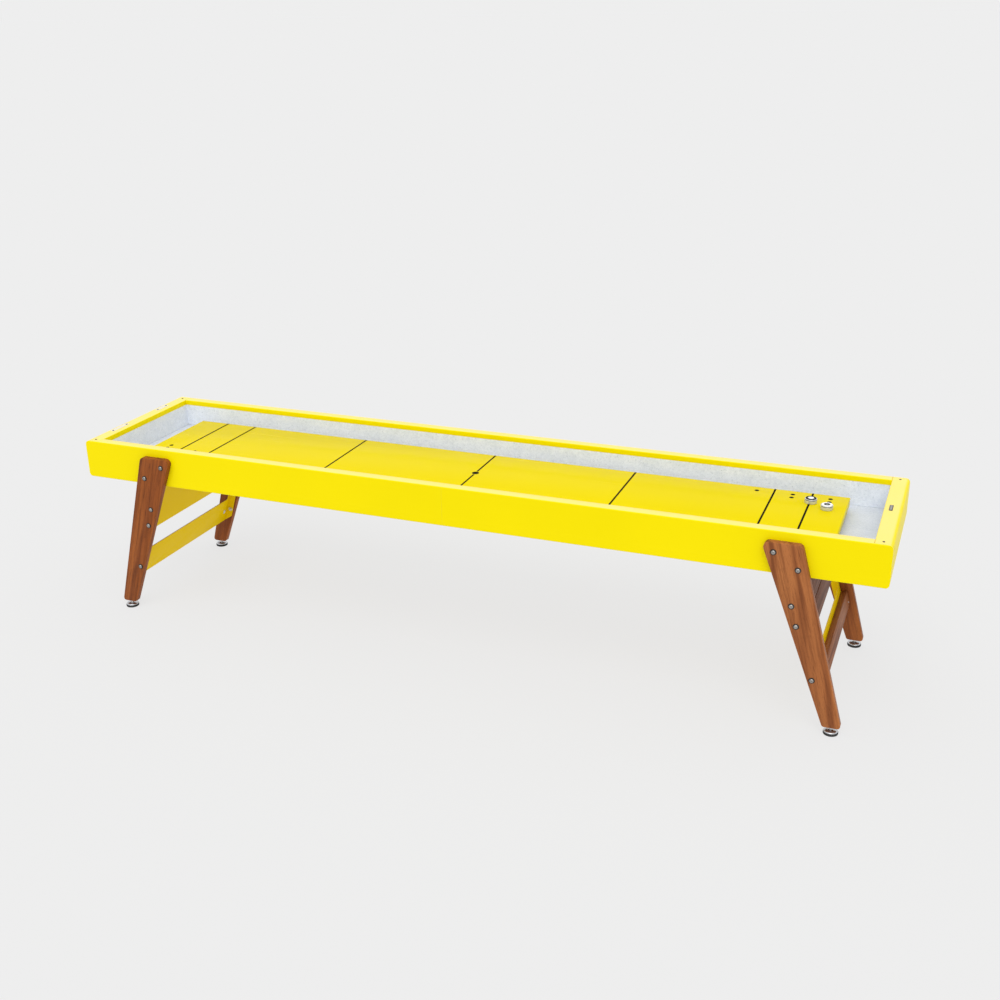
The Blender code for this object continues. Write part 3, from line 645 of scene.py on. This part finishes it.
def leg_fasteners():
    """Bolt heads on the outside of each leg, and the nuts inside: two on the tray's side panel and
    three on the end frame."""
    for side in SIDES:
        for end in ENDS:
            tail = f"{SIDE_NAMES[side]}_{END_NAMES[end]}"
            for index, (x, z) in enumerate(UPPER_BOLTS + FRAME_BOLTS, start=1):
                place = facing((end * x, side * (LEG_HIGH.y + GAP), z), (0, side, 0))
                nodes = (f"leg_bolt_{tail}_{index}",) if index <= len(UPPER_BOLTS) else ()
                bolt_head(f"leg_bolt_head_{tail}_{index}", place, nodes)
            bm = bmesh.new()
            frame_face, web_face = FRAME_HIGH.y - FRAME_SHEET, WEB_HIGH.y - WEB_SHEET
            for face, places in ((frame_face, FRAME_BOLTS), (web_face, UPPER_BOLTS)):
                for x, z in places:
                    place = facing((end * x, side * (face - GAP), z), (0, -side, 0))
                    lathe(bm, NUT_WASHER, place, steps=32)
                    prism(bm, hexagon(NUT_FLAT), NUT_LOW, NUT_HIGH, place)
                    lathe(bm, BOLT_END, place, steps=24)
            into_scene(f"leg_nuts_{tail}", bm, ZINC, smooth=SMALL_SMOOTH)


# A low screw head, in shares of its radius and its height, and half the size of its slots
SCREW_HEAD = ((0, 0), (1, 0), (1, 0.25), (0.8, 0.8), (0.45, 1), (0, 1))
SLOT_LENGTH, SLOT_WIDTH = 0.55, 0.09
SLOT_LOW, SLOT_HIGH = 0.7, 1.02


def small_screw(bm, place, radius=0.0052, height=0.0016):
    """Adds a low round head to the bmesh, with a cross of two strips on it."""
    lathe(bm, [(radius * across, height * up) for across, up in SCREW_HEAD], place, steps=32)
    high = Vector((radius * SLOT_LENGTH, radius * SLOT_WIDTH, height * SLOT_HIGH))
    low = Vector((-high.x, -high.y, height * SLOT_LOW))
    for turn in (0, math.pi / 2):
        block(bm, low, high, place @ Matrix.Rotation(turn, 4, "Z"))


RIM_SCREW = (1.791, 0.348)
BADGE_PLACE = (1.785, 0.007)
BADGE_SIZE = (0.0145, 0.062)
BADGE_INNER = (0.0085, 0.053)
PLATE_X = -1.796
PLATE_WIDTH = 0.020
PLATE_SPANS = ((-0.223, -0.099), (0.132, 0.222))  # from front to back
PLATE_HIGH = 0.0012
PLATE_SCREW_INSET = 0.011


def rounded(centre, size, corner):
    """The outline of a rectangle with round corners."""
    half = Vector(size) / 2
    outline = []
    for start, (x, y) in zip((0, 90, 180, 270), ((1, 1), (-1, 1), (-1, -1), (1, -1))):
        middle_of_arc = (centre[0] + x * (half.x - corner), centre[1] + y * (half.y - corner))
        outline += arc(middle_of_arc, corner, start, start + 90, 5)
    return outline


def rim_fittings():
    """Small screws at the corners of the rims, a blank badge in a frame on the right rim, and two
    blank screwed plates on the left one."""
    up = (0, 0, 1)
    bm = bmesh.new()
    for end in ENDS:
        for side in SIDES:
            small_screw(bm, facing((end * RIM_SCREW[0], side * RIM_SCREW[1], RIM_TOP), up))
    into_scene("rim_screws", bm, DARK_STEEL_AND_PAINTED_SHADE, smooth=SMALL_SMOOTH)

    bm = bmesh.new()
    prism(bm, rounded(BADGE_PLACE, BADGE_SIZE, 0.003), RIM_TOP, RIM_TOP + 0.0009)
    into_scene("badge_frame", bm, DARK_STEEL_AND_PAINTED_SHADE, smooth=SMALL_SMOOTH)
    bm = bmesh.new()
    prism(bm, rounded(BADGE_PLACE, BADGE_INNER, 0.002), RIM_TOP + 0.0008, RIM_TOP + 0.0013)
    into_scene("badge_plate", bm, BOLT_STEEL, smooth=SMALL_SMOOTH)

    plates, screws = bmesh.new(), bmesh.new()
    for low, high in PLATE_SPANS:
        outline = rounded((PLATE_X, (low + high) / 2), (PLATE_WIDTH, high - low), 0.003)
        prism(plates, outline, RIM_TOP, RIM_TOP + PLATE_HIGH)
        for y in (low + PLATE_SCREW_INSET, high - PLATE_SCREW_INSET):
            place = facing((PLATE_X, y, RIM_TOP + PLATE_HIGH - GAP), up)
            small_screw(screws, place, radius=0.0042)
    into_scene("rim_plates", plates, PLATE_STEEL, smooth=SMALL_SMOOTH)
    into_scene("rim_plate_screws", screws, DARK_STEEL_AND_PAINTED_SHADE, smooth=SMALL_SMOOTH)


PANEL_FOOT = 1.6696  # where the inner face of an end frame would meet the floor
RAIL_SCREW_Y = 0.345
RAIL_SCREW_UP = 0.2303
RAIL_FACE = 0.0306  # the outer face of the rail, from the inner face of the end frame
SCREW_END = ((0, 0), (0.0042, 0), (0.0042, 0.0010), (0.0034, 0.0014), (0, 0.0014))


def on_panel(end, y, up, out):
    """A point by an end frame: up its slope from the floor, and out along its normal."""
    x = PANEL_FOOT - up * math.sin(FRAME_LEAN) + out * math.cos(FRAME_LEAN)
    return Vector((end * x, y, up * math.cos(FRAME_LEAN) + out * math.sin(FRAME_LEAN)))


def end_frame_fasteners():
    """Screws through each end frame into its rail, with their ends showing on the outside."""
    for end in ENDS:
        outward = Vector((end * math.cos(FRAME_LEAN), 0, math.sin(FRAME_LEAN)))
        tail = END_NAMES[end]
        heads, ends = bmesh.new(), bmesh.new()
        for side in SIDES:
            at = on_panel(end, side * RAIL_SCREW_Y, RAIL_SCREW_UP, 0)
            lathe(heads, NUT_WASHER, facing(at, -outward), steps=32)
            small_screw(heads, facing(at - outward * 0.0012, -outward), 0.0070, 0.0034)
            at = on_panel(end, side * RAIL_SCREW_Y, RAIL_SCREW_UP, RAIL_FACE - 2 * GAP)
            lathe(ends, SCREW_END, facing(at, outward), steps=24)
        into_scene(f"end_frame_screws_{tail}", heads, ZINC, smooth=SMALL_SMOOTH)
        into_scene(f"rail_screw_ends_{tail}", ends, ZINC, smooth=SMALL_SMOOTH)


RIBS = 4
RIB_PITCH = 0.0022
RIB_DEPTH = 0.0006
PAD_NECK = 0.0100
PAD_SOCKET = 0.0056
THREAD_PITCH = 0.0015
THREAD_CORE, THREAD_CREST = 0.0033, 0.0039
THREAD_FOOT = 0.0288  # the thread stops over the collar
COLLAR_LOW, COLLAR_HIGH = 0.0205, 0.0275
COLLAR_RADIUS, COLLAR_FLAT = 0.0074, 0.0075
BALL = 0.0048


def foot_shoe(tail, place):
    """The rubber shoe, with ribs round its side."""
    low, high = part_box(f"foot_rubber_{tail}")
    radius, top = (high[0] - low[0]) / 2, high[2]
    ribs = []
    for i in range(RIBS):
        z = 0.0012 + i * RIB_PITCH
        ribs += [
            (radius - RIB_DEPTH, z),
            (radius, z + 0.0005),
            (radius, z + 0.0010),
            (radius - RIB_DEPTH, z + 0.0015),
        ]
    sole = [(0, 0), (radius - 0.0015, 0), (radius - 0.0005, 0.0006)]
    bm = bmesh.new()
    lathe(bm, [*sole, *ribs, (radius - 0.0014, top), (0, top)], place)
    name = f"foot_shoe_{tail}"
    shoe = into_scene(name, bm, RUBBER, f"foot_{tail}", SOFT_SMOOTH)
    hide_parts(f"foot_rubber_{tail}")


def foot_dome(tail, place):
    """The chromed pad: a dome with a socket for the stem's ball."""
    low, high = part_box(f"foot_pad_{tail}")
    radius, base, crown = (high[0] - low[0]) / 2, low[2], high[2]
    spread, rise = radius - PAD_NECK, crown - base - 0.0026
    angles = [math.radians(90 * i / 12) for i in range(12)]
    profile = [
        (0, base),
        (radius - 0.0006, base),
        (radius, base + 0.0005),
        *((PAD_NECK + spread * math.cos(a), base + 0.0018 + rise * math.sin(a)) for a in angles),
        (PAD_NECK, crown - 0.0004),
        (PAD_NECK - 0.0006, crown),
        (PAD_SOCKET + 0.0004, crown),
        (PAD_SOCKET, crown - 0.0004),
        (PAD_SOCKET, base + 0.0013),
        (0, base + 0.0013),
    ]
    bm = bmesh.new()
    lathe(bm, profile, place)
    name = f"foot_dome_{tail}"
    pad = into_scene(name, bm, CHROME, f"foot_{tail}", TURNED_SMOOTH)
    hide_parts(f"foot_pad_{tail}")


def foot_screw(tail, place):
    """The threaded stem, with a hexagon collar and a ball at its foot."""
    low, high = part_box(f"foot_stem_{tail}")
    bottom, tip = low[2], high[2]
    thread = []
    z = tip - 0.0008
    while z - THREAD_PITCH > THREAD_FOOT:
        thread += [
            (THREAD_CREST, z),
            (THREAD_CREST, z - 0.2 * THREAD_PITCH),
            (THREAD_CORE, z - 0.5 * THREAD_PITCH),
            (THREAD_CORE, z - 0.7 * THREAD_PITCH),
        ]
        z -= THREAD_PITCH
    profile = [
        (0, tip),
        (THREAD_CORE, tip),
        *thread,
        (0.0038, COLLAR_HIGH + 0.0008),
        (0.0038, COLLAR_HIGH),
        (COLLAR_RADIUS, COLLAR_HIGH),
        (COLLAR_RADIUS, COLLAR_LOW),
        (0.0040, COLLAR_LOW),
        *arc((0, bottom + BALL), BALL, 45, -80, 10),
        (0, bottom),
    ]
    bm = bmesh.new()
    lathe(bm, profile, place, steps=32)
    prism(bm, hexagon(COLLAR_FLAT), COLLAR_LOW + 0.0003, COLLAR_HIGH - 0.0003, place)
    name = f"foot_screw_{tail}"
    stem = into_scene(name, bm, ZINC, f"stem_{tail}", SMALL_SMOOTH)
    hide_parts(f"foot_stem_{tail}")


def feet():
    for side in SIDES:
        for end in ENDS:
            tail = f"{SIDE_NAMES[side]}_{END_NAMES[end]}"
            centre = middle(f"foot_rubber_{tail}")
            place = Matrix.Translation((centre.x, centre.y, 0))
            foot_shoe(tail, place)
            foot_dome(tail, place)
            foot_screw(tail, place)


GROOVE_DEPTH = 0.0020
GROOVE_LOW, GROOVE_HIGH = 0.0059, 0.0031  # below the top of the weight
RECESS_DEPTH = 0.0040
RECESS_GAP = 0.0004  # round the cap
LIP = 0.0018  # the rounding of the weight's upper edge
FOOT = 0.0020  # and of its lower one
BAND = 0.0013  # the bulge of the band, and where its middle lies from the rim and from the top
BAND_IN, BAND_DOWN = 0.0018, 0.0045
CAP_EDGE = 0.0016
DISH_DEPTH = 0.0007
INLAY_LOW, INLAY_HIGH = -0.0001, 0.0004  # from the floor of the cap's dish
PUCKS = (  # the cap, what is inlaid in it, and the inlay's two radii
    (1, (DARK_CAP, "dark_cap_plastic"), (WHITE_CAP, "white_cap_plastic"), (0.0, 0.0125)),
    (2, (WHITE_CAP, "white_cap_plastic"), (DARK_CAP, "dark_cap_plastic"), (0.0032, 0.0125)),
)


def puck_weight(number, body, place, radius, height, cap):
    """The steel weight, with a groove round it and a recess for the cap."""
    low, high, floor = height - GROOVE_LOW, height - GROOVE_HIGH, height - RECESS_DEPTH
    groove, recess = radius - GROOVE_DEPTH, cap + RECESS_GAP
    profile = [
        (0, 0),
        *arc((radius - FOOT, FOOT), FOOT, -85, 0, 6),
        (radius, low - 0.0003),
        (radius - 0.0003, low),
        (groove, low),
        (groove, high),
        (radius - 0.0003, high),
        (radius, high + 0.0003),
        *arc((radius - LIP, height - LIP), LIP, 0, 80, 6),
        (recess + 0.0003, height),
        (recess, height - 0.0003),
        (recess, floor),
        (0, floor),
    ]
    bm = bmesh.new()
    lathe(bm, profile, place, steps=96)
    name = f"puck_{number}_weight"
    weight = into_scene(name, bm, PUCK_STEEL, body, TURNED_SMOOTH)
    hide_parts(f"puck_weight_{number}")

    inner = groove - GAP
    profile = [
        (inner, low + GAP),
        *arc((radius - BAND_IN, height - BAND_DOWN), BAND, -80, 80, 7),
        (inner, high - GAP),
        (inner, low + GAP),
    ]
    bm = bmesh.new()
    lathe(bm, profile, place, steps=96)
    into_scene(f"puck_{number}_band", bm, RUBBER, body, SOFT_SMOOTH)


def pucks():
    """Two pucks: a polished steel weight with a rubber band in its groove, and a dished plastic cap
    with a plain disc or ring inlaid."""
    for number, (finish, slot), (inlay_finish, inlay_slot), (inside, outside) in PUCKS:
        body = f"puck_{number}"
        low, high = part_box(f"puck_weight_{number}")
        centre = middle(f"puck_weight_{number}")
        place = Matrix.Translation((centre.x, centre.y, low[2]))
        radius, height = (high[0] - low[0]) / 2, high[2] - low[2]
        cap_low, cap_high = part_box(f"puck_cap_{number}")
        crown, cap = cap_high[2] - low[2], (cap_high[0] - cap_low[0]) / 2
        puck_weight(number, body, place, radius, height, cap)

        floor, dish = height - RECESS_DEPTH + 0.0003, crown - DISH_DEPTH
        profile = [
            (0, floor),
            (cap, floor),
            *arc((cap - CAP_EDGE, crown - 0.0018), CAP_EDGE, 0, 75, 6),
            (cap - 0.0022, crown),
            (0.0152, crown),
            (0.0142, crown - 0.0002),
            (0.0134, dish),
            (0, dish),
        ]
        bm = bmesh.new()
        lathe(bm, profile, place, steps=96)
        lid = into_scene(f"puck_{number}_cap", bm, finish, body, TURNED_SMOOTH)
        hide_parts(f"puck_cap_{number}")

        base, top = dish + INLAY_LOW, dish + INLAY_HIGH
        outer = [(outside, base), (outside, top - 0.0001), (outside - 0.0003, top)]
        if inside:
            inner = [(inside + 0.0003, top), (inside, top - 0.0001), (inside, base)]
        else:
            inner = [(0, top)]
        bm = bmesh.new()
        lathe(bm, [(inside, base), *outer, *inner], place)
        name = f"puck_{number}_inlay"
        into_scene(name, bm, inlay_finish, body, TURNED_SMOOTH)


# ---- Stage --------------------------------------------------------------------------------------


FLOOR_REACH = 450.0
FLOOR_GREY = 0.115  # how much of the light on it the floor gives back
FLOOR_GLOW = 0.70  # the light of its own, which keeps the shadows on it faint
HORIZON = 0.855  # brightness of the sky up to HORIZON_RISE
OVERHEAD = 1.04  # and from OVERHEAD_RISE up
HORIZON_RISE, OVERHEAD_RISE = 0.06, 0.45
KEY_STRENGTH = 1.25
KEY_SPREAD = math.radians(50)
KEY_FROM = (0.10, -0.58, 0.80)


def stage():
    """A plain pale floor lit from within, an even sky that is brighter overhead, and one broad
    key light."""
    bm = bmesh.new()
    bmesh.ops.create_grid(bm, x_segments=8, y_segments=8, size=FLOOR_REACH)
    mesh = bpy.data.meshes.new("floor")
    bm.to_mesh(mesh)
    bm.free()
    paper = Nodes("pale_floor", roughness=0.9, specular=0.0)
    paper.shader.inputs["Base Color"].default_value = (FLOOR_GREY, FLOOR_GREY, FLOOR_GREY, 1.0)
    paper.shader.inputs["Emission Color"].default_value = (1.0, 1.0, 1.0, 1.0)
    paper.shader.inputs["Emission Strength"].default_value = FLOOR_GLOW
    mesh.materials.append(paper.material)
    floor = bpy.data.objects.new("floor", mesh)
    bpy.context.scene.collection.objects.link(floor)

    world = bpy.data.worlds.new("studio")
    bpy.context.scene.world = world
    world.use_nodes = True
    tree = world.node_tree
    direction = tree.nodes.new("ShaderNodeTexCoord").outputs["Generated"]
    parts = tree.nodes.new("ShaderNodeSeparateXYZ")
    tree.links.new(direction, parts.inputs[0])
    rise = tree.nodes.new("ShaderNodeMapRange")
    rise.interpolation_type = "SMOOTHSTEP"
    rise.inputs["From Min"].default_value = HORIZON_RISE
    rise.inputs["From Max"].default_value = OVERHEAD_RISE
    rise.inputs["To Min"].default_value = HORIZON
    rise.inputs["To Max"].default_value = OVERHEAD
    tree.links.new(parts.outputs["Z"], rise.inputs["Value"])
    background = tree.nodes["Background"]
    background.inputs["Color"].default_value = (1.0, 1.0, 1.0, 1.0)
    tree.links.new(rise.outputs["Result"], background.inputs["Strength"])

    key = bpy.data.lights.new("key", "SUN")
    key.energy = KEY_STRENGTH
    key.angle = KEY_SPREAD
    lamp = bpy.data.objects.new("key", key)
    lamp.matrix_world = facing((0, 0, 6), KEY_FROM)
    bpy.context.scene.collection.objects.link(lamp)


CAMERA_PLACE = (2.0400, -4.8149, 2.6963)
CAMERA_YAW = 0.3801  # to the left of +Y, in radians, as the next two are
CAMERA_PITCH = 0.377  # below the horizon
CAMERA_ROLL = -0.0144
LENS_MM = 44.80
SENSOR_MM = 36.0


def camera():
    """The camera, where the table was seen from."""
    data = bpy.data.cameras.new("camera")
    data.sensor_width = SENSOR_MM
    data.lens = LENS_MM
    data.clip_end = 1000.0
    seen = bpy.data.objects.new("camera", data)
    ahead = Vector((
        -math.sin(CAMERA_YAW) * math.cos(CAMERA_PITCH),
        math.cos(CAMERA_YAW) * math.cos(CAMERA_PITCH),
        -math.sin(CAMERA_PITCH),
    ))
    right = Vector((math.cos(CAMERA_YAW), math.sin(CAMERA_YAW), 0))
    up = right.cross(ahead)
    rolled_right = right * math.cos(CAMERA_ROLL) + up * math.sin(CAMERA_ROLL)
    rolled_up = up * math.cos(CAMERA_ROLL) - right * math.sin(CAMERA_ROLL)
    turn = Matrix((rolled_right, rolled_up, -ahead)).transposed().to_4x4()
    seen.matrix_world = Matrix.Translation(CAMERA_PLACE) @ turn
    bpy.context.scene.collection.objects.link(seen)
    bpy.context.scene.camera = seen


def main():
    bpy.context.scene.view_settings.view_transform = "Standard"
    camera()
    stage()
    tray()
    board()
    legs()
    leg_fasteners()
    rim_fittings()
    end_frame_fasteners()
    feet()
    pucks()


main()
